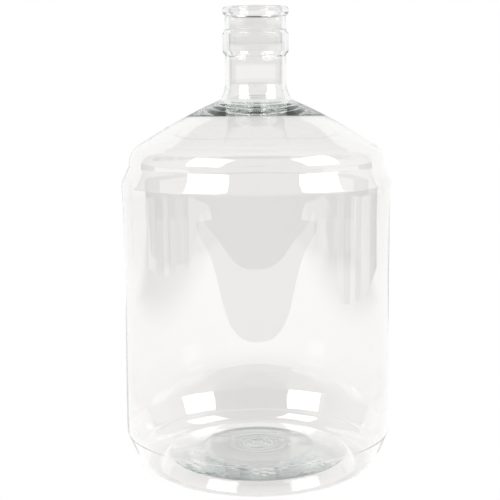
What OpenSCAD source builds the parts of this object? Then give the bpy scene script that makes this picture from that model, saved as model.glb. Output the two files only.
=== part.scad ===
// Clear plastic carboy: a one-piece, stretch-blown three-gallon fermenting bottle.
// Millimetres, +Z up. The origin is the centre of the foot ring, on the ground.
// The bottle is a single moulding. Its nodes are the zones of that moulding, which
// meet face to face and fill the whole wall between them.

/* [Overall] */
// Height from the ground to the top of the lip
height = 394; // [388:1:400]
// Diameter of the lower body wall
body_d = 229; // [225:1:234]
// Diameter at the slight waist of the body wall
waist_d = 227; // [222:1:229]
// Diameter of the rolled bead under the shoulder
bead_d = 230; // [227:0.5:234]

/* [Neck] */
// Diameter of the straight bore that takes the stopper
mouth_d = 45; // [44:0.5:46]
// Outside diameter of the plain neck
neck_d = 51.2; // [50:0.2:53]
// Outside diameter of the lip and of the neck band
lip_d = 55.4; // [54.4:0.2:57]
// Height of the underside of the lip
lip_under_z = 389; // [388:0.5:390]
// Height of the top of the neck band
band_top_z = 372; // [370:0.5:374]
// Height of the bottom of the neck band
band_low_z = 357; // [355:0.5:360]
// Height at which the neck starts to flare
flare_z = 330; // [329:0.5:333]

/* [Shoulder] */
// Height of the corner between the neck and the shoulder
root_z = 317.5; // [316:0.5:319]
// Height of the outer corner of the shoulder
shoulder_z = 275.7; // [274:0.1:278]
// Diameter of the outer corner of the shoulder
shoulder_d = 215.4; // [213:0.2:217]
// Height of the rolled bead
bead_z = 248; // [245:0.5:251]

/* [Foot] */
// Height at which the body wall turns in
wall_low_z = 34; // [31:0.5:37]
// Height of the crease above the heel
crease_z = 16.4; // [14:0.2:18]
// Diameter of the crease above the heel
crease_d = 214; // [210:0.2:216]
// Outer diameter of the heel where it would meet the ground
heel_d = 208.8; // [204:0.2:210]
// Inner diameter of the foot ring
foot_inner_d = 169.6; // [167:0.2:171]
// Diameter of the inner edge of the foot's inner wall
push_up_d = 158; // [154:1:160]
// Height of the underside of the base at its centre
push_up_h = 12.5; // [10:0.5:15]

/* [Walls] */
// Wall thickness of the blown body
body_wall_t = 1; // [0.8:0.1:1.4]
// Thickness of the thick ring where the neck meets the shoulder
root_wall_t = 4.6; // [4:0.1:5]
// Thickness of the edge of the thick disc in the base
disc_wall_t = 5; // [4:0.1:5.4]
// Thickness of the middle of the base
centre_wall_t = 3.5; // [3:0.1:4]

/* [Hidden] */
$fn = 128;

// Facets of the rounded stretches: the largest turn and the longest chord of one facet
facet_turn = 7;
facet_length = 8;

mouth_r = mouth_d / 2;
neck_r = neck_d / 2;
lip_r = lip_d / 2;
body_r = body_d / 2;
crease_r = crease_d / 2;
push_up_r = push_up_d / 2;

// The lip and the band step out from the neck over this width and height
lip_slope_h = 2.4;
band_slope_h = 3.2;
mouth_round = 1.5;

// The wall gets thin over the first part of the shoulder
neck_wall_t = neck_r - mouth_r;
root_edge_r = 44.2;
root_edge_t = 2.7;
thin_start_r = 57;
thin_start_t = 1.15;
dome_r = 69;

// The body's wall swells evenly from its waist to this height and is straight below it
straight_top_z = 60;
swell_round = 2500;

// The base slopes up gently from its rim to a thick disc that is flat in the middle
push_up_edge_z = 9.6;
flat_r = 12;
disc_r = 48;
disc_edge_z = 11;
nub_r = 4;
nub_drop = 2;

// Heights and the radius at which one zone ends and the next begins
lip_cut_z = lip_under_z - lip_slope_h;
band_top_cut_z = band_top_z + band_slope_h;
band_low_cut_z = band_low_z - band_slope_h;
neck_cut_z = flare_z + 1;
root_cut_z = root_z - 11;
shoulder_cut_z = shoulder_z + 5.1;
bead_cut_z = bead_z - 8;
heel_cut_r = heel_d / 2 - 7.4;
foot_cut_r = foot_inner_d / 2 + 0.7;
base_cut_r = push_up_r + 1.5;
slab_r = bead_d;

// Corners of the outer surface from the lip to the start of the flare: radius, height,
// fillet radius. The bore behind them is straight.
finish_corners = [
    [mouth_r, height, mouth_round],
    [lip_r, height, 2.2],
    [lip_r, lip_under_z, 1.4],
    [neck_r, lip_cut_z, 0.8],
    [neck_r, band_top_cut_z, 1],
    [lip_r, band_top_z, 1.8],
    [lip_r, band_low_z, 2],
    [neck_r, band_low_cut_z, 0.8]
];

// Corners of the outer surface from the flare to the middle of the base: radius, height,
// fillet radius, wall thickness
body_corners = [
    [neck_r, flare_z, 0.5, neck_wall_t],
    [neck_r + 1.6, flare_z - 6.2, 30, neck_wall_t + 0.5],
    [neck_r + 4.4, root_z, 4, root_wall_t],
    [root_edge_r, root_z - 6.2, 60, root_edge_t],
    [thin_start_r, root_z - 12.55, 30, thin_start_t],
    [dome_r, root_z - 18.5, 120, body_wall_t + 0.1],
    [shoulder_d / 2, shoulder_z, 19, body_wall_t],
    [body_r - 6.2, bead_z + 14.5, 3, body_wall_t],
    [bead_d / 2, bead_z, 6, body_wall_t],
    [waist_d / 2 + 0.4, bead_z - 21, 60, body_wall_t],
    [waist_d / 2, bead_z - 83, swell_round, body_wall_t],
    [body_r, straight_top_z, swell_round, body_wall_t],
    [body_r, wall_low_z, 2, body_wall_t],
    [crease_r, crease_z, 8, body_wall_t],
    [heel_d / 2, 0, 18, body_wall_t],
    [foot_inner_d / 2, 0, 2.5, body_wall_t],
    [push_up_r, push_up_edge_z, 3, body_wall_t + 0.3],
    [disc_r, disc_edge_z, 4, disc_wall_t],
    [flat_r, push_up_h, 0, centre_wall_t],
    [0, push_up_h, 0, centre_wall_t]
];

// Rounds a coordinate so that straight runs stay exactly straight
function snap(v) = round(v * 1e5) / 1e5;

// Unit direction from one corner to the next, and the side that faces the inside
function way(a, b) = [b.x - a.x, b.y - a.y] / norm([b.x - a.x, b.y - a.y]);
function inward(d) = [d.y, -d.x];

// Corner moved in by its wall thickness, with its fillet radius changed to match
function inset_corner(before, c, after) =
    let (d1 = way(before, c), d2 = way(c, after),
         n1 = inward(d1), n2 = inward(d2),
         move = (n1 + n2) * c[3] / (1 + n1 * n2),
         bulges = d1.x * d2.y - d1.y * d2.x < 0)
    [snap(c.x + move.x), snap(c.y + move.y), bulges ? max(c[2] - c[3], 0.5) : c[2] + c[3]];

// Inner surface: a straight bore, then the body's corners moved in, then the centre
function inner_corners() =
    let (last = len(body_corners) - 1, path = concat([finish_corners[7]], body_corners))
    concat(
        [[mouth_r, band_low_cut_z, 0]],
        [for (i = [1 : last]) inset_corner(path[i - 1], path[i], path[i + 1])],
        [[0, push_up_h + centre_wall_t, 0]]
    );

// Points of one rounded corner
function rounded_corner(before, c, after) =
    let (back = -way(before, c), ahead = way(c, after),
         corner = acos(max(-1, min(1, back * ahead))),
         turn = 180 - corner)
    c[2] == 0 || turn < 0.01 ? [[c.x, c.y]] :
    let (reach = c[2] / tan(corner / 2),
         centre = [c.x, c.y] + (back + ahead) / norm(back + ahead) * c[2] / sin(corner / 2),
         start = [c.x, c.y] + back * reach - centre,
         side = start.x * ahead.y - start.y * ahead.x > 0 ? 1 : -1,
         steps = max(ceil(turn / facet_turn), ceil(c[2] * turn * PI / 180 / facet_length)))
    [for (k = [0 : steps])
        let (a = side * turn * k / steps)
        [snap(centre.x + start.x * cos(a) - start.y * sin(a)),
         snap(centre.y + start.x * sin(a) + start.y * cos(a))]];

// Points of a whole run of corners, whose two ends stay sharp
function rounded_path(corners) =
    let (last = len(corners) - 1)
    concat(
        [[corners[0].x, corners[0].y]],
        [for (i = [1 : last - 1])
            each rounded_corner(corners[i - 1], corners[i], corners[i + 1])],
        [[corners[last].x, corners[last].y]]
    );

function reversed(list) = [for (i = [len(list) - 1 : -1 : 0]) list[i]];

// The mouth's inner edge is rounded, so the outer run starts on the bore below it
outer_points = rounded_path(concat([[mouth_r, lip_cut_z, 0]], finish_corners, body_corners));
inner_points = rounded_path(inner_corners());

// Half section of the whole bottle wall
module wall_section() {
    polygon(concat(outer_points, reversed(inner_points)));
}

// Ring of the bottle wall between two heights
module wall_ring(low_z, high_z) {
    rotate_extrude()
        intersection() {
            wall_section();
            translate([0, low_z])
                square([slab_r, high_z - low_z]);
        }
}

// Part of the bottle wall between two radii, below the crease
module foot_part(inner_r, outer_r) {
    rotate_extrude()
        intersection() {
            wall_section();
            translate([inner_r, -1])
                square([outer_r - inner_r, crease_z + 1]);
        }
}

// Rounded ring round the mouth, which a push-on cap grips
module lip() {
    color([0.93, 0.96, 0.95, 0.5]) wall_ring(lip_cut_z, height + 1);
}

// Plain neck between the lip and the band
module upper_neck() {
    color([0.90, 0.94, 0.93, 0.5]) wall_ring(band_top_cut_z, lip_cut_z);
}

// Raised band with bevelled edges
module neck_band() {
    color([0.93, 0.96, 0.95, 0.5]) wall_ring(band_low_cut_z, band_top_cut_z);
}

// Plain neck below the band, which a carrying handle clamps
module neck() {
    color([0.90, 0.94, 0.93, 0.5]) wall_ring(neck_cut_z, band_low_cut_z);
}

// Thick ring of less stretched plastic where the neck flares into the shoulder
module neck_root() {
    color([0.62, 0.72, 0.68, 0.6]) wall_ring(root_cut_z, neck_cut_z);
}

// Domed shoulder
module shoulder() {
    color([0.86, 0.89, 0.90, 0.4]) wall_ring(shoulder_cut_z, root_cut_z);
}

// Outer corner of the shoulder, its near-upright step and the rolled bead
module shoulder_bead() {
    color([0.84, 0.88, 0.90, 0.4]) wall_ring(bead_cut_z, shoulder_cut_z);
}

// Long wall of the body, slightly waisted
module body_wall() {
    color([0.88, 0.90, 0.92, 0.35]) wall_ring(wall_low_z, bead_cut_z);
}

// Wall that turns in towards the heel
module tapered_foot_wall() {
    color([0.84, 0.88, 0.90, 0.4]) wall_ring(crease_z, wall_low_z);
}

// Rounded heel below the crease
module heel() {
    color([0.86, 0.89, 0.90, 0.4]) foot_part(heel_cut_r, slab_r);
}

// Lowest part of the wall, with the flat ring that the bottle stands on
module foot_ring() {
    color([0.84, 0.88, 0.90, 0.4]) foot_part(foot_cut_r, heel_cut_r);
}

// Short wall that climbs from the foot ring to the pushed-up base
module foot_inner_wall() {
    color([0.80, 0.85, 0.86, 0.4]) foot_part(base_cut_r, foot_cut_r);
}

// Base pushed up inside the foot ring, thickest in the middle
module base_dome() {
    color([0.66, 0.75, 0.72, 0.6]) foot_part(0, base_cut_r);
}

// Mark left under the middle of the base where the plastic was fed in
module gate_nub() {
    color([0.55, 0.66, 0.62, 0.7])
        translate([0, 0, push_up_h - nub_drop])
            cylinder(h = nub_drop, r = nub_r);
}

lip();
upper_neck();
neck_band();
neck();
neck_root();
shoulder();
shoulder_bead();
body_wall();
tapered_foot_wall();
heel();
foot_ring();
foot_inner_wall();
base_dome();
gate_nub();
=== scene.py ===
import math

import bmesh
import bpy
from mathutils import Euler, Matrix, Vector


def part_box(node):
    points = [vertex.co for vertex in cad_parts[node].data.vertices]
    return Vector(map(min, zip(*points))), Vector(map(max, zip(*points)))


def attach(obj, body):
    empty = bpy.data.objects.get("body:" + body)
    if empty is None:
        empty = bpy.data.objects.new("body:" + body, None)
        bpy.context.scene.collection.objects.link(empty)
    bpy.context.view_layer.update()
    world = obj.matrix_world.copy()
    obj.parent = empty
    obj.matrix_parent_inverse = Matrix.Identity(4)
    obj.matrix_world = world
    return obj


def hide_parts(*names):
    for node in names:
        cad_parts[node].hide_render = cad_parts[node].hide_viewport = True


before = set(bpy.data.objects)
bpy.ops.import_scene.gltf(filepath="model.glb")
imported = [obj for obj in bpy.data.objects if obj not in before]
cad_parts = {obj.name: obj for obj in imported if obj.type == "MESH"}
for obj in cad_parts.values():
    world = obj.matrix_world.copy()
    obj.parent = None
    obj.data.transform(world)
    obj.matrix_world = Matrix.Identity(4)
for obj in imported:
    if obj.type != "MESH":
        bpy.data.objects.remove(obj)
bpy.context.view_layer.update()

MM = 0.001


# ---------------------------------------------------------------- sizes, in millimetres

def radius_of(node):
    """Outer radius of a CAD zone."""
    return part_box(node)[1].x / MM


def top_of(node):
    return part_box(node)[1].z / MM


def bottom_of(node):
    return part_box(node)[0].z / MM


# Heights that the CAD's zones don't give themselves, from a cut or a corner that they give
FLARE_BELOW_CUT = 1.0
ROOT_ABOVE_CUT = 11.0
BEAD_ABOVE_CUT = 8.0
SHOULDER_ABOVE_BEAD = 27.7
DISC_EDGE_DROP = 1.5

# Wall thicknesses: thin wall, neck, neck's root, thick disc of the base, and its middle
wall_t = 1.0
neck_t = 3.1
root_t = 4.6
disc_t = 5.0
centre_t = 3.5

height = top_of("lip")
lip_r = radius_of("lip")
neck_r = radius_of("neck")
bead_r = radius_of("shoulder_bead")
body_r = radius_of("body_wall")
crease_r = radius_of("heel")
mouth_r = neck_r - neck_t

lip_low_z = bottom_of("lip")
band_top_z = top_of("neck_band")
band_low_z = bottom_of("neck_band")
flare_z = bottom_of("neck") - FLARE_BELOW_CUT
root_z = bottom_of("neck_root") + ROOT_ABOVE_CUT
bead_z = bottom_of("shoulder_bead") + BEAD_ABOVE_CUT
shoulder_z = bead_z + SHOULDER_ABOVE_BEAD
wall_low_z = bottom_of("body_wall")
crease_z = bottom_of("tapered_foot_wall")
push_up_z = top_of("gate_nub")
disc_edge_z = push_up_z - DISC_EDGE_DROP

heel_r = 104.4
foot_r = 84.8
push_up_r = 79.0
disc_r = 48.0
flat_r = 12.0
nub_r = 4.0

# ---------------------------------------------------------------- half outline

# Corners of the neck's outside, from the mouth down: radius, height, fillet
FINISH = [
    (mouth_r, height, 1.5),
    (lip_r, height, 2.2),
    (lip_r, lip_low_z + 2.4, 1.4),
    (neck_r, lip_low_z, 0.8),
    (neck_r, band_top_z, 1.0),
    (lip_r, band_top_z - 3.2, 1.8),
    (lip_r, band_low_z + 3.2, 2.0),
    (neck_r, band_low_z, 0.8),
]

# Corners of the body's outside, from the flare to the base: radius, height, fillet, wall
BODY = [
    (neck_r, flare_z, 0.5, neck_t),
    (neck_r + 1.6, flare_z - 6.2, 30, 3.6),
    (neck_r + 4.4, root_z, 4, root_t),
    (44.2, root_z - 6.2, 60, 2.7),
    (57.0, root_z - 12.55, 30, 1.15),
    (69.0, root_z - 18.5, 120, 1.1),
    (107.7, shoulder_z, 19, wall_t),
    (108.3, bead_z + 14.5, 3, wall_t),
    (bead_r, bead_z, 6, wall_t),
    (body_r - 0.6, bead_z - 21, 60, wall_t),
    (body_r - 1.0, bead_z - 83, 2500, wall_t),
    (body_r, 60, 2500, wall_t),
    (body_r, wall_low_z, 2, wall_t),
    (crease_r, crease_z, 8, wall_t),
    (heel_r, 0, 18, wall_t),
    (foot_r, 0, 2.5, wall_t),
    (push_up_r, 9.6, 3, wall_t + 0.3),
    (disc_r, disc_edge_z, 4, disc_t),
    (flat_r, push_up_z, 0, centre_t),
    (0, push_up_z, 0, centre_t),
]

# How far apart the mesh's rings are at most: closer where thick plastic bends light more
ARC_TURN = math.radians(8)
LONGEST_STEP = 9.0
ROOT_STEP = 1.8
ROOT_STEP_LOW_Z = 296.0
ROOT_STEP_HIGH_Z = 334.0
BASE_STEP = 1.3
BASE_STEP_HIGH_Z = 17.5
BASE_STEP_R = push_up_r + 4

SHARPEST_FILLET = 0.5
NO_TURN = 1e-4
NO_LENGTH = 1e-5


def step_at(r, z):
    """Longest distance between two rings of the mesh at a place on the outline."""
    if z < BASE_STEP_HIGH_Z and r < BASE_STEP_R:
        return BASE_STEP
    return ROOT_STEP if ROOT_STEP_LOW_Z < z < ROOT_STEP_HIGH_Z else LONGEST_STEP


def unit(a, b):
    """Direction from one point of the outline to another."""
    d = (b[0] - a[0], b[1] - a[1])
    n = math.hypot(*d)
    return d[0] / n, d[1] / n


def inset(before, corner, after):
    """The corner moved in by its wall thickness, with its fillet changed to match."""
    d1, d2 = unit(before, corner), unit(corner, after)
    n1, n2 = (d1[1], -d1[0]), (d2[1], -d2[0])
    k = corner[3] / (1 + n1[0] * n2[0] + n1[1] * n2[1])
    bulges = d1[0] * d2[1] - d1[1] * d2[0] < 0
    fillet = max(corner[2] - corner[3], SHARPEST_FILLET) if bulges else corner[2] + corner[3]
    return corner[0] + (n1[0] + n2[0]) * k, corner[1] + (n1[1] + n2[1]) * k, fillet


def rounded(before, corner, after):
    """Points of one filleted corner."""
    out, ahead = unit(corner, before), unit(corner, after)
    opening = math.acos(max(-1, min(1, out[0] * ahead[0] + out[1] * ahead[1])))
    turn = math.pi - opening
    if corner[2] == 0 or turn < NO_TURN:
        return [corner[:2]]
    reach = corner[2] / math.tan(opening / 2)
    mid = (out[0] + ahead[0], out[1] + ahead[1])
    k = corner[2] / math.sin(opening / 2) / math.hypot(*mid)
    centre = (corner[0] + mid[0] * k, corner[1] + mid[1] * k)
    sx = corner[0] + out[0] * reach - centre[0]
    sy = corner[1] + out[1] * reach - centre[1]
    side = 1 if sx * ahead[1] - sy * ahead[0] > 0 else -1
    steps = max(2, math.ceil(turn / ARC_TURN), math.ceil(corner[2] * turn / step_at(*corner[:2])))
    points = []
    for i in range(steps + 1):
        a = side * turn * i / steps
        points.append((centre[0] + sx * math.cos(a) - sy * math.sin(a),
                       centre[1] + sx * math.sin(a) + sy * math.cos(a)))
    return points


def path(corners):
    """Points of a run of corners, rounded, with its long straight stretches divided."""
    points = [corners[0][:2]]
    for before, corner, after in zip(corners, corners[1:], corners[2:]):
        points += rounded(before, corner, after)
    points.append(corners[-1][:2])
    dense = [points[0]]
    for a, b in zip(points, points[1:]):
        length = math.dist(a, b)
        if length < NO_LENGTH:
            continue
        parts = math.ceil(length / step_at((a[0] + b[0]) / 2, (a[1] + b[1]) / 2))
        dense += [(a[0] + (b[0] - a[0]) * i / parts, a[1] + (b[1] - a[1]) * i / parts)
                  for i in range(1, parts + 1)]
    return dense


def inner_corners():
    """Corners of the inside, from the band down: radius, height, fillet."""
    chain = [FINISH[-1]] + BODY
    moved = [inset(*chain[i:i + 3]) for i in range(len(chain) - 2)]
    return [(mouth_r, band_low_z, 0)] + moved + [(0, push_up_z + centre_t, 0)]


OUTER = path([(mouth_r, lip_low_z, 0)] + FINISH + [c[:3] for c in BODY])
INNER = path(inner_corners())


# ---------------------------------------------------------------- bottle mesh

SEGMENTS = 208
ON_AXIS = 1e-6

# The wall is wavy between these heights, fully so from the first pair's end to the second's start
SAG_STARTS_Z = (14, 45)
SAG_ENDS_Z = (275, 300)

# Size of the waves of each face, and how far the wavy outside is drawn in, so that its
# highest waves stay within the CAD's wall
WAVE_OUTSIDE = 0.04
WAVE_INSIDE = 0.012
WAVE_INSET = 0.12

# Where a point belongs to the base, its rings or its pips
BASE_BELOW_Z = 40
RINGS_R = disc_r + 1
MARKS_BELOW_Z = 12.4
MARKS_R = push_up_r - 1

# Rings left inside the thick disc by the stretch rod: height, radius and width of each,
# and the dimple in the middle
RINGS = [(0.7, 11, 2.2), (0.35, 18, 2.0), (0.3, 25, 2.2)]
DIMPLE_DEPTH = 1.6
DIMPLE_R = 5.5

# Plain raised pips under the base, in three groups: the group's direction in degrees round
# from the front, then each pip's place across and outwards from the group's middle
PIP_R = 1.8
PIP_DEPTH = 0.5
PIP_MIDDLE_R = 65.0
PIP_GROUP_TURN = 0.25
PIPS = [
    (-50, [(-6, 1), (-2, 1), (2, 1), (6, 1), (-6, 6), (-2, 6), (2, 6), (6, 6)]),
    (4, [(-6, -4), (0, -6), (6, -4), (6, 3), (0, 6), (-6, 3), (0, 0)]),
    (49, [(-7, -2), (-7, 2), (-7, 6), (0, -2), (0, 2), (0, 6), (7, -2), (7, 2), (7, 6)]),
]

# Where the plastic's colour changes with its thickness: round the disc of the base, and
# under and over the neck's root
DISC_FADE_R = (disc_r - 6, disc_r + 16)
ROOT_FADE_IN_Z = (298, 308)
ROOT_FADE_OUT_Z = (313, 320)

NUB_DROP = 2.0
NUB_MARGIN = 1.2


def smooth(edge0, edge1, v):
    """0 up to the first edge and 1 from the second, with a smooth rise between them."""
    t = max(0.0, min(1.0, (v - edge0) / (edge1 - edge0)))
    return t * t * (3 - 2 * t)


def sag(z):
    """Share of the wall's waviness at a height: none at the neck and at the foot."""
    return smooth(*SAG_STARTS_Z, z) * (1 - smooth(*SAG_ENDS_Z, z))


# Each sine of a wave says how often it goes round the bottle, where it starts, and how it
# turns with height
def waves_outside(a, z):
    """Long waves that both faces of the wall share, a few round the bottle."""
    s = math.sin(2 * a + 0.4 + z * 0.012) + 0.7 * math.sin(3 * a - 1.1 - z * 0.021)
    s += 0.35 * math.sin(7 * a + 2.0 + 1.3 * math.sin(z * 0.018))
    return WAVE_OUTSIDE * s * sag(z)


def waves_inside(a, z):
    """Short waves of the inside, by which the thickness of the wall varies."""
    s = math.sin(5 * a + 1.7 + z * 0.009) + 0.8 * math.sin(11 * a + 0.6 + 0.8 * math.sin(z * 0.03))
    s += 0.5 * math.sin(23 * a + 2.1 + 1.5 * math.sin(z * 0.017)) * (0.5 + 0.5 * math.sin(z * 0.04))
    return WAVE_INSIDE * s * sag(z)


def base_ripple(r):
    """Change of the base's inner height by the rings and the dimple."""
    s = 0
    for tall, ring_r, width in RINGS:
        s += tall * math.exp(-((r - ring_r) / width) ** 2)
    return s - DIMPLE_DEPTH * math.exp(-(r / DIMPLE_R) ** 4)


def marks(a, r):
    """Change of the base's outer height by the pips, downwards."""
    total = 0
    for degrees, pips in PIPS:
        turn = math.radians(degrees) - a - math.pi / 2
        turn = (turn + math.pi) % (2 * math.pi) - math.pi
        if abs(turn) > PIP_GROUP_TURN:
            continue
        across, out = r * math.sin(-turn), r - PIP_MIDDLE_R
        for u, v in pips:
            total -= PIP_DEPTH * math.exp(-((across - u) ** 2 + (out - v) ** 2) / PIP_R ** 2)
    return total


def thickness_at(r, z):
    """Wall thickness near a point, for the colour of the plastic: thick at the neck's root
    and in the middle of the base, thin elsewhere."""
    if z < BASE_BELOW_Z:
        return wall_t + (disc_t - wall_t) * (1 - smooth(*DISC_FADE_R, r))
    thick = smooth(*ROOT_FADE_IN_Z, z) * (1 - smooth(*ROOT_FADE_OUT_Z, z))
    return wall_t + (root_t - wall_t) * thick


def nub_outline():
    """Outline of the gate nub, from its middle outwards: flat, bevelled, and wider at its foot."""
    low_z = push_up_z - NUB_DROP
    return [(0, low_z), (nub_r - 0.8, low_z), (nub_r - 0.2, low_z + 0.4),
            (nub_r, push_up_z - 0.5), (nub_r + 0.6, push_up_z)]


def bottle_outline():
    """Radius, height and whether it's inside, from under the base up, over the lip and down."""
    outside = nub_outline() + [p for p in reversed(OUTER) if p[0] > nub_r + NUB_MARGIN]
    return [(r, z, False) for r, z in outside] + [(r, z, True) for r, z in INNER]


def wall_point(r, z, inside, a):
    """A point of the wall at an angle round the bottle, with its waves, rings and pips."""
    if inside:
        r_here = r + (waves_inside(a, z) + waves_outside(a, z))
        z_here = z + base_ripple(r) if z < BASE_BELOW_Z and r < RINGS_R else z
    else:
        r_here = r + (waves_outside(a, z) - WAVE_INSET * sag(z))
        z_here = z + marks(a, r) if z < MARKS_BELOW_Z and disc_r < r < MARKS_R else z
    return r_here * math.cos(a), r_here * math.sin(a), z_here


def add_ring(bm, thickness, r, z, inside):
    """One ring of vertices, or a single one where the outline meets the axis."""
    if r < ON_AXIS:
        points = [(0, 0, z + base_ripple(0) if inside else z)]
    else:
        points = [wall_point(r, z, inside, 2 * math.pi * k / SEGMENTS) for k in range(SEGMENTS)]
    ring = [bm.verts.new((x * MM, y * MM, height_here * MM)) for x, y, height_here in points]
    for vert in ring:
        vert[thickness] = thickness_at(r, z)
    return ring


def join_rings(bm, lower, upper):
    """Faces between two neighbouring rings, one of which may be a single vertex."""
    for k in range(SEGMENTS):
        m = (k + 1) % SEGMENTS
        if len(lower) == 1:
            bm.faces.new((lower[0], upper[m], upper[k]))
        elif len(upper) == 1:
            bm.faces.new((lower[k], lower[m], upper[0]))
        else:
            bm.faces.new((lower[k], lower[m], upper[m], upper[k]))


def bottle_mesh():
    bm = bmesh.new()
    thickness = bm.verts.layers.float.new("thickness")
    rings = [add_ring(bm, thickness, *point) for point in bottle_outline()]
    for lower, upper in zip(rings, rings[1:]):
        join_rings(bm, lower, upper)
    bmesh.ops.recalc_face_normals(bm, faces=bm.faces)
    for face in bm.faces:
        face.smooth = True
    mesh = bpy.data.meshes.new("carboy")
    bm.to_mesh(mesh)
    bm.free()
    return mesh


# ---------------------------------------------------------------- material nodes

def new_material(name):
    material = bpy.data.materials.new(name)
    material.use_nodes = True
    material.node_tree.nodes.clear()
    return material, material.node_tree


def put(tree, socket, value):
    """Links an input to another node's output, or sets it to a plain value."""
    if isinstance(value, bpy.types.NodeSocket):
        tree.links.new(value, socket)
    else:
        socket.default_value = value


def math_node(tree, operation, *values):
    node = tree.nodes.new("ShaderNodeMath")
    node.operation = operation
    for socket, value in zip(node.inputs, values):
        put(tree, socket, value)
    return node.outputs["Value"]


def ramp_node(tree, value, start, end, low, high):
    """Goes smoothly from low to high while the value goes from start to end."""
    node = tree.nodes.new("ShaderNodeMapRange")
    node.interpolation_type = "SMOOTHSTEP"
    for name, number in (("From Min", start), ("From Max", end), ("To Min", low), ("To Max", high)):
        node.inputs[name].default_value = number
    put(tree, node.inputs["Value"], value)
    return node.outputs["Result"]


def mix_node(tree, data_type, share, before, after):
    """Goes from one number or colour to another while the share goes from 0 to 1."""
    node = tree.nodes.new("ShaderNodeMix")
    node.data_type = data_type
    put(tree, node.inputs["Factor"], share)
    put(tree, node.inputs["A"], before)
    put(tree, node.inputs["B"], after)
    return node.outputs["Result"]


def mix_shaders(tree, share, before, after):
    node = tree.nodes.new("ShaderNodeMixShader")
    put(tree, node.inputs["Fac"], share)
    put(tree, node.inputs[1], before)
    put(tree, node.inputs[2], after)
    return node.outputs["Shader"]


def emission(tree, colour, strength):
    node = tree.nodes.new("ShaderNodeEmission")
    put(tree, node.inputs["Color"], colour)
    put(tree, node.inputs["Strength"], strength)
    return node.outputs["Emission"]


def surface(tree, shader):
    """Makes the shader the material's surface, and returns the output node."""
    node = tree.nodes.new("ShaderNodeOutputMaterial")
    put(tree, node.inputs["Surface"], shader)
    return node


# ---------------------------------------------------------------- plastic

CLEAR_TINT = (0.985, 0.982, 0.978)
THICK_TINT = (0.89, 0.905, 0.89)
TINT_STARTS_T = 1.2
TINT_FULL_T = 4.5
PET_IOR = 1.575
ABSORPTION_TINT = (0.3, 0.4, 0.38)
ABSORPTION = 7
SCUFF_SCALE = 24
SCUFF_DETAIL = 4
SCUFF_FADE = (0.5, 0.75, 0, 0.03)


def pet_tint(tree):
    """Nearly clear where the plastic was stretched thin, greener where it stayed thick."""
    place = tree.nodes.new("ShaderNodeAttribute")
    place.attribute_name = "thickness"
    share = ramp_node(tree, place.outputs["Fac"], TINT_STARTS_T, TINT_FULL_T, 0, 1)
    return mix_node(tree, "RGBA", share, (*CLEAR_TINT, 1), (*THICK_TINT, 1))


def scuffs(tree):
    """Roughness: glossy all over, with faint cloudy patches from handling."""
    place = tree.nodes.new("ShaderNodeTexCoord")
    clouds = tree.nodes.new("ShaderNodeTexNoise")
    clouds.inputs["Scale"].default_value = SCUFF_SCALE
    clouds.inputs["Detail"].default_value = SCUFF_DETAIL
    tree.links.new(place.outputs["Object"], clouds.inputs["Vector"])
    return ramp_node(tree, clouds.outputs["Fac"], *SCUFF_FADE)


def pet_material():
    material, tree = new_material("clear_pet")
    shader = tree.nodes.new("ShaderNodeBsdfPrincipled")
    tree.links.new(pet_tint(tree), shader.inputs["Base Color"])
    shader.inputs["Transmission Weight"].default_value = 1
    shader.inputs["IOR"].default_value = PET_IOR
    tree.links.new(scuffs(tree), shader.inputs["Roughness"])
    volume = tree.nodes.new("ShaderNodeVolumeAbsorption")
    volume.inputs["Color"].default_value = (*ABSORPTION_TINT, 1)
    volume.inputs["Density"].default_value = ABSORPTION
    out = surface(tree, shader.outputs["BSDF"])
    tree.links.new(volume.outputs["Volume"], out.inputs["Volume"])
    return material


# ---------------------------------------------------------------- bottle

NODES = [
    "lip", "upper_neck", "neck_band", "neck", "neck_root", "shoulder", "shoulder_bead",
    "body_wall", "tapered_foot_wall", "heel", "foot_ring", "foot_inner_wall", "base_dome",
    "gate_nub",
]


def add_object(name, mesh, material):
    obj = bpy.data.objects.new(name, mesh)
    bpy.context.scene.collection.objects.link(obj)
    obj.data.materials.append(material)
    return obj


carboy = add_object("carboy_bottle", bottle_mesh(), pet_material())
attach(carboy, "root")
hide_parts(*NODES)

# ---------------------------------------------------------------- studio, in metres

WHITE = 1.0
PLAIN_WHITE = (1.0, 1.0, 1.0)
WARM_WHITE = (1.0, 0.985, 0.95)
LILAC_WHITE = (0.97, 0.955, 1.0)
THROUGH = (0.925, 0.916, 0.91)
ROOM_GLOW = 0.07


def stage_object(name, verts, faces, material):
    mesh = bpy.data.meshes.new(name)
    mesh.from_pydata(verts, [], faces)
    add_object(name, mesh, material)


def panel(name, points, material):
    stage_object(name, points, [list(range(len(points)))], material)


def rectangle(x0, x1, y0, y1):
    return [(x0, y0), (x1, y0), (x1, y1), (x0, y1)]


def bent_panel(name, radius, turn, heights, parts, material):
    """An upright panel bent round the bottle, from one direction to another. Directions are
    in degrees, and start from the front."""
    start, end = turn
    verts = []
    for i in range(parts + 1):
        a = math.radians(start + (end - start) * i / parts)
        verts += [(radius * math.sin(a), -radius * math.cos(a), z) for z in heights]
    faces = [(2 * i, 2 * i + 2, 2 * i + 3, 2 * i + 1) for i in range(parts)]
    stage_object(name, verts, faces, material)


def only_reflected(tree):
    """0 for what is seen directly or through the wall, and 1 or more after a reflection."""
    return tree.nodes.new("ShaderNodeLightPath").outputs["Glossy Depth"]


def seen_directly(tree):
    return tree.nodes.new("ShaderNodeLightPath").outputs["Is Camera Ray"]


def seen_colour(tree):
    """White to the eye and in reflections, a little darker and warmer through the plastic."""
    white = math_node(tree, "MAXIMUM", seen_directly(tree), only_reflected(tree))
    return mix_node(tree, "RGBA", white, (*THROUGH, 1), (*PLAIN_WHITE, 1))


def position_of(tree):
    return tree.nodes.new("ShaderNodeNewGeometry").outputs["Position"]


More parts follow.
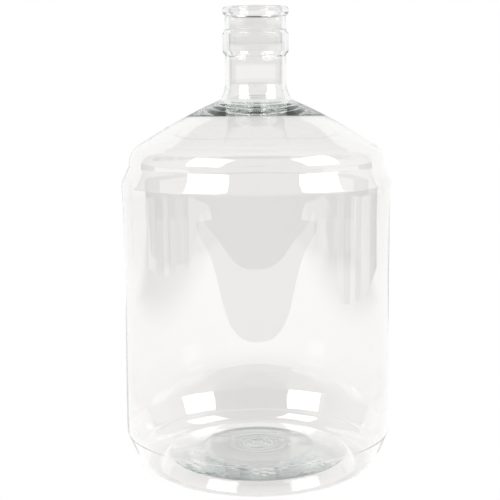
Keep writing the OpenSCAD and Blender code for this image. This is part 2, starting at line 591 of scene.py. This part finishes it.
def axes_of(tree, position):
    node = tree.nodes.new("ShaderNodeSeparateXYZ")
    tree.links.new(position, node.inputs[0])
    return node.outputs


def distance_node(tree, position, centre):
    node = tree.nodes.new("ShaderNodeVectorMath")
    node.operation = "DISTANCE"
    tree.links.new(position, node.inputs[0])
    node.inputs[1].default_value = centre
    return node.outputs["Value"]


def reflected_glow(tree, colour, strength):
    """A light that shows in reflections only, and is plain white background to the eye."""
    background = emission(tree, seen_colour(tree), WHITE)
    glow = emission(tree, (*colour, 1), strength)
    surface(tree, mix_shaders(tree, only_reflected(tree), background, glow))


def glow_material(name, colour, strength):
    material, tree = new_material(name)
    reflected_glow(tree, colour, strength)
    return material


# ---------------------------------------------------------------- table and floor

FLOOR_Z = -0.001
FLOOR_HALF = 8.0
TABLE_Z = -0.0004
FRONT_STEPS = 32
FRONT_HALF = 1.2
FRONT_Y = -0.735
FRONT_CURVE = 0.33
FRONT_CURVE_X = (0.1, 0.95)

# Each fade: the distance where it starts and ends, and the level at its start and its end
UNDER_BASE_FADE = (disc_r * MM, push_up_r * MM, 0.85, WHITE)
UNDER_HEEL_FADE = (foot_r * MM, 1.4 * body_r * MM, 0.94, WHITE)
SHADOW_FADE = (0.02, 0.24, 0.80, WHITE)
SHADOW_PLACE = (0, 0.21, 0)
SHADOW_SQUEEZE = (1.7, 1, 1)
SIDE_FADE = (0.7, 1.05, 1, 0.1)
NEAR_FADE = (-0.8, -0.55, 0.6, 0)
FAR_FADE = (0.1, 0.5, 0, 1)
TABLE_GLOW_FADE = (-0.5, 0.4, 1.3, 1)


def table_shadow(tree, position):
    """Darker patches of the table: under the base, round the heel and behind the bottle."""
    radius = distance_node(tree, position, (0, 0, 0))
    under = math_node(tree, "MULTIPLY", ramp_node(tree, radius, *UNDER_BASE_FADE),
                      ramp_node(tree, radius, *UNDER_HEEL_FADE))
    narrow = tree.nodes.new("ShaderNodeVectorMath")
    narrow.operation = "MULTIPLY"
    narrow.inputs[1].default_value = SHADOW_SQUEEZE
    tree.links.new(position, narrow.inputs[0])
    spot = distance_node(tree, narrow.outputs["Vector"], SHADOW_PLACE)
    return math_node(tree, "MULTIPLY", under, ramp_node(tree, spot, *SHADOW_FADE))


def table_glow(tree, position):
    """Light of the table in the bottle's reflections: bright in the middle and at the back,
    dim to both sides, and partly bright again along its near edge."""
    axes = axes_of(tree, position)
    aside = math_node(tree, "ABSOLUTE", axes["X"])
    sides = ramp_node(tree, aside, *SIDE_FADE)
    ends = math_node(tree, "MAXIMUM", ramp_node(tree, axes["Y"], *NEAR_FADE),
                     ramp_node(tree, axes["Y"], *FAR_FADE))
    fade = math_node(tree, "MAXIMUM", sides, ends)
    glow = math_node(tree, "MULTIPLY", ramp_node(tree, axes["Y"], *TABLE_GLOW_FADE), fade)
    return mix_node(tree, "FLOAT", only_reflected(tree), WHITE, glow)


def table_material():
    """White table with the bottle's soft shadow on it. The shadow shows through the bottle
    and in its reflections, and the table round the bottle is burnt out to white."""
    material, tree = new_material("white_table")
    position = position_of(tree)
    shaded = math_node(tree, "MULTIPLY", table_shadow(tree, position), table_glow(tree, position))
    level = mix_node(tree, "FLOAT", seen_directly(tree), shaded, WHITE)
    surface(tree, emission(tree, seen_colour(tree), level))
    return material


def floor_material():
    """A white floor to the eye, open to the dark room for reflections."""
    material, tree = new_material("white_floor")
    glow = emission(tree, seen_colour(tree), WHITE)
    clear = tree.nodes.new("ShaderNodeBsdfTransparent")
    surface(tree, mix_shaders(tree, only_reflected(tree), glow, clear.outputs["BSDF"]))
    return material


def table_front(x):
    """The table's front edge: nearest to the bottle in the middle, further away to the sides."""
    return FRONT_Y - FRONT_CURVE * smooth(*FRONT_CURVE_X, abs(x))


# The table's left side, curved front edge and right side
table = [(-4.0, 3.0), (-4.0, 0.93), (-1.16, 0.27), (-1.01, -0.67), (-1.7, -1.15)]
for i in range(FRONT_STEPS + 1):
    x = FRONT_HALF * (2 * i / FRONT_STEPS - 1)
    table.append((x, table_front(x)))
table += [(1.6, -1.15), (0.87, -0.31), (1.0, 0.54), (3.6, 2.0), (4.0, 3.0)]
panel("table_top", [(x, y, TABLE_Z) for x, y in table], table_material())

floor = rectangle(-FLOOR_HALF, FLOOR_HALF, -FLOOR_HALF, FLOOR_HALF)
panel("floor", [(x, y, FLOOR_Z) for x, y in floor], floor_material())

# ---------------------------------------------------------------- backdrop and lights

BACKDROP_R = 2.5
BACKDROP_TURN = (122, 238)
BACKDROP_HEIGHTS = (FLOOR_Z, 2.4)
BACKDROP_PARTS = 32
PATCH_PLACE = (0, BACKDROP_R, 0.95)
PATCH_FADE = (0.2, 0.75, 0.5, WHITE)

# Four ceiling panels round a dark opening: x from and to, y from and to
CEILING_Z = 2.5
CEILING_GLOW = 0.62
CEILING = {
    "ceiling_front": (-2.6, 2.6, -0.6, 1.15), "ceiling_back": (-2.6, 2.6, 1.9, 2.6),
    "ceiling_left": (-2.6, -0.5, 1.15, 1.9), "ceiling_right": (0.5, 2.6, 1.15, 1.9),
}

# Direction of each softbox, in degrees from the front
SOFTBOXES = {"softbox_left": -48, "softbox_right": 62}
SOFTBOX_ELEVATION = 33.5
SOFTBOX_DISTANCE = 2.6
SOFTBOX_WIDE = 1.5
SOFTBOX_TALL = 1.74
SOFTBOX_GLOW = 5

SILL_R = 3.0
SILL_TURN = (-100, 100)
SILL_HEIGHTS = (0.12, 0.42)
SILL_PARTS = 40
SILL_GLOW = 1

WALL_R = 3.2
WALL_HEIGHTS = (0.5, 3.6)
WALL_STARTS = 38
WALL_ENDS = 122
WALL_PARTS = 20
WALL_FADE_X = (2.0, 3.1)
LEFT_WALL_GLOW = 0.6
RIGHT_WALL_GLOW = 0.9

# Direction, width in degrees and glow of each upright thing beside the table
STANDS = [
    (-66, 8, 0.35), (-80, 5, 0.6), (-97, 10, 0.5),
    (72, 7, 0.4), (86, 6, 0.7), (102, 12, 0.5),
]
STAND_R = 1.9
STAND_LOW = -1.1
STAND_HIGH = -0.01


def backdrop_material():
    """White to the eye, with a darker patch in reflections."""
    material, tree = new_material("white_backdrop")
    patch = distance_node(tree, position_of(tree), PATCH_PLACE)
    glow = ramp_node(tree, patch, *PATCH_FADE)
    level = mix_node(tree, "FLOAT", only_reflected(tree), WHITE, glow)
    surface(tree, emission(tree, seen_colour(tree), level))
    return material


def softbox(name, azimuth):
    """A light that faces the bottle's shoulder, its direction given from there."""
    a, e = math.radians(azimuth), math.radians(SOFTBOX_ELEVATION)
    towards = Vector((math.sin(a) * math.cos(e), -math.cos(a) * math.cos(e), math.sin(e)))
    place = Vector((0, 0, bead_z * MM)) + towards * SOFTBOX_DISTANCE
    turn = towards.to_track_quat("Z", "Y").to_matrix().to_4x4()
    wide, tall = SOFTBOX_WIDE / 2, SOFTBOX_TALL / 2
    points = [Matrix.Translation(place) @ turn @ Vector((x, y, 0))
              for x, y in rectangle(-wide, wide, -tall, tall)]
    panel(name, points, glow_material(name, PLAIN_WHITE, SOFTBOX_GLOW))


def side_wall(name, side, glow):
    """A pale wall beside the bottle, brightest straight to the side."""
    material, tree = new_material(name)
    aside = math_node(tree, "ABSOLUTE", axes_of(tree, position_of(tree))["X"])
    reflected_glow(tree, LILAC_WHITE, ramp_node(tree, aside, *WALL_FADE_X, ROOM_GLOW, glow))
    turn = (side * WALL_STARTS, side * WALL_ENDS)
    bent_panel(name, WALL_R, turn, WALL_HEIGHTS, WALL_PARTS, material)


def stand(name, azimuth, degrees, glow):
    """A pale upright thing beside the table, of which only the reflection shows."""
    turn = (azimuth - degrees / 2, azimuth + degrees / 2)
    material = glow_material(name, PLAIN_WHITE, glow)
    bent_panel(name, STAND_R, turn, (STAND_LOW, STAND_HIGH), 1, material)


bent_panel("backdrop", BACKDROP_R, BACKDROP_TURN, BACKDROP_HEIGHTS, BACKDROP_PARTS,
           backdrop_material())
for name, sides in CEILING.items():
    corners = [(x, y, CEILING_Z) for x, y in rectangle(*sides)]
    panel(name, corners, glow_material(name, WARM_WHITE, CEILING_GLOW))
for name, azimuth in SOFTBOXES.items():
    softbox(name, azimuth)
# A pale ledge round the near side of the room, which draws thin lines in the creases
sill_material = glow_material("sill", PLAIN_WHITE, SILL_GLOW)
bent_panel("sill", SILL_R, SILL_TURN, SILL_HEIGHTS, SILL_PARTS, sill_material)
side_wall("wall_left", -1, LEFT_WALL_GLOW)
side_wall("wall_right", 1, RIGHT_WALL_GLOW)
for number, (azimuth, degrees, glow) in enumerate(STANDS):
    stand(f"stand_{number}", azimuth, degrees, glow)


def studio_world():
    """White to the eye, a dark room for reflections."""
    world = bpy.data.worlds.new("studio")
    world.use_nodes = True
    tree = world.node_tree
    seen = tree.nodes["Background"]
    tree.links.new(seen_colour(tree), seen.inputs["Color"])
    dark = tree.nodes.new("ShaderNodeBackground")
    dark.inputs["Color"].default_value = (*WARM_WHITE, 1)
    dark.inputs["Strength"].default_value = ROOM_GLOW
    shader = mix_shaders(tree, only_reflected(tree), seen.outputs["Background"],
                         dark.outputs["Background"])
    tree.links.new(shader, tree.nodes["World Output"].inputs["Surface"])
    return world


bpy.context.scene.world = studio_world()

# ---------------------------------------------------------------- camera and view

SENSOR_MM = 36
LENS_MM = 79.83
CAMERA_PLACE = (0, -0.9459, 0.3296)
CAMERA_DOWN = math.radians(8.466)
CAMERA_YAW = math.radians(0.36)
CAMERA_ROLL = math.radians(-0.42)

camera_data = bpy.data.cameras.new("camera")
camera_data.sensor_width = SENSOR_MM
camera_data.lens = LENS_MM
camera_data.clip_start = 0.05
camera_data.clip_end = 50
camera = bpy.data.objects.new("camera", camera_data)
bpy.context.scene.collection.objects.link(camera)
camera.location = CAMERA_PLACE
camera.rotation_mode = "QUATERNION"
yaw = Euler((0, 0, CAMERA_YAW)).to_matrix()
pitch = Euler((math.pi / 2 - CAMERA_DOWN, 0, 0)).to_matrix()
roll = Euler((0, 0, CAMERA_ROLL)).to_matrix()
camera.rotation_quaternion = (yaw @ pitch @ roll).to_quaternion()
bpy.context.scene.camera = camera

scene = bpy.context.scene
scene.view_settings.view_transform = "Standard"
scene.view_settings.look = "None"
scene.cycles.max_bounces = 32
scene.cycles.transmission_bounces = 32
scene.cycles.glossy_bounces = 24
scene.cycles.transparent_max_bounces = 16
scene.cycles.volume_bounces = 0
scene.cycles.sample_clamp_indirect = 0
